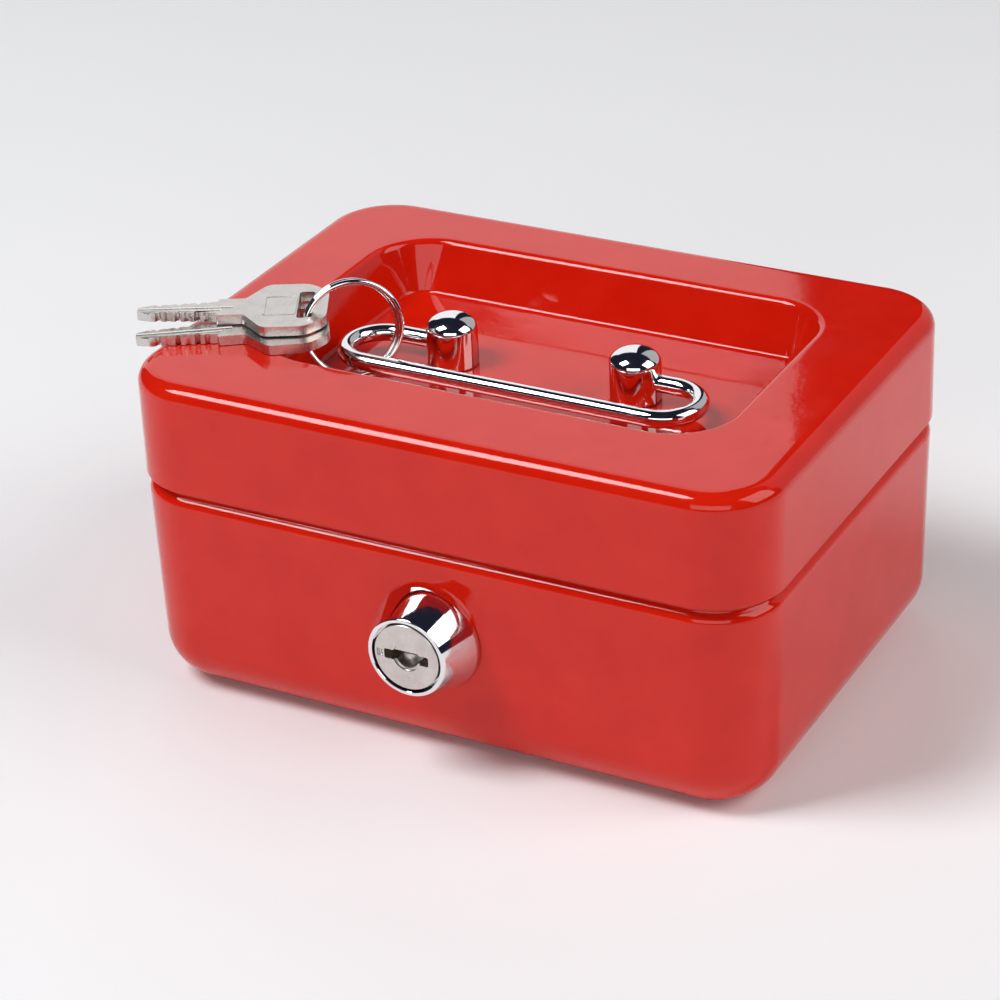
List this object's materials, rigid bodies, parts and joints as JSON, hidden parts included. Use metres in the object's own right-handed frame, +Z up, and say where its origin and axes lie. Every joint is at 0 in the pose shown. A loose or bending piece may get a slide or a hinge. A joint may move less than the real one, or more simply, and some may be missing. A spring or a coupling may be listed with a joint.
{
  "type": "cash box",
  "caption": "Small lockable steel cash box with a hinged lid, front cam lock, folding bail handle in a lid well, and flat keys on a split ring.",
  "frame": {"origin": "centre of the flat bottom face that the box rests on", "axes": "+X to the right seen from the lock side, -Y out of the lock face (front), +Z up through the lid"},
  "size_m": [0.1206, 0.0928, 0.0667],
  "materials": {
    "red_paint": "high-gloss stoved enamel",
    "chrome_plate": "bright chrome plate",
    "nickel_plate": "satin nickel plate",
    "zinc_plate": "dull zinc plate",
    "brass_bare": "bare stamped brass"
  },
  "bodies": {
    "box": {"body_shell": "red_paint", "lock_housing": "chrome_plate", "lock_washer": "zinc_plate", "lock_nut": "zinc_plate", "body_hinge_leaf": "zinc_plate", "hinge_pin": "zinc_plate"},
    "plug": {"lock_plug": "nickel_plate", "lock_wafers": "brass_bare", "wafer_springs": "zinc_plate", "lock_cam": "zinc_plate", "cam_washer": "zinc_plate", "cam_screw": "zinc_plate"},
    "lid": {"lid_shell": "red_paint", "lid_hinge_leaf": "zinc_plate", "lid_catch": "zinc_plate", "handle_post_left": "chrome_plate", "handle_post_right": "chrome_plate", "post_washers": "zinc_plate", "post_screws": "zinc_plate"},
    "bail": {"handle_bail": "chrome_plate"},
    "ring": {"key_ring": "chrome_plate"},
    "upper_key": {"key_upper": "nickel_plate"},
    "lower_key": {"key_lower": "nickel_plate"}
  },
  "joints": [
    {"name": "lid_hinge", "type": "hinge", "parent": "box", "child": "lid", "pos_m": [0, 0.04235, 0.0385], "axis": [-1, 0, 0], "range_deg": [0, 100]},
    {"name": "lock_turn", "type": "hinge", "parent": "box", "child": "plug", "pos_m": [0, -0.0415, 0.0224], "axis": [0, 1, 0], "range_deg": [0, 90]},
    {"name": "bail_swing", "type": "hinge", "parent": "lid", "child": "bail", "pos_m": [0, 0.0011, 0.0527], "axis": [-1, 0, 0], "range_deg": [0, 90]},
    {"name": "ring_hang", "type": "hinge", "parent": "bail", "child": "ring", "pos_m": [-0.028, -0.0098, 0.0527], "axis": [-1, 0, 0], "range_deg": [-90, 0]},
    {"name": "upper_key_swing", "type": "hinge", "parent": "ring", "child": "upper_key", "pos_m": [-0.036, -0.0153, 0.061], "axis": [0, 0, 1], "range_deg": [-6, 6]},
    {"name": "lower_key_swing", "type": "hinge", "parent": "ring", "child": "lower_key", "pos_m": [-0.036, -0.0154, 0.059], "axis": [0, 0, 1], "range_deg": [-6, 10]}
  ],
  "couplings": [
    {"joint": "ring_hang", "follows": "bail_swing", "ratio": -1}
  ]
}
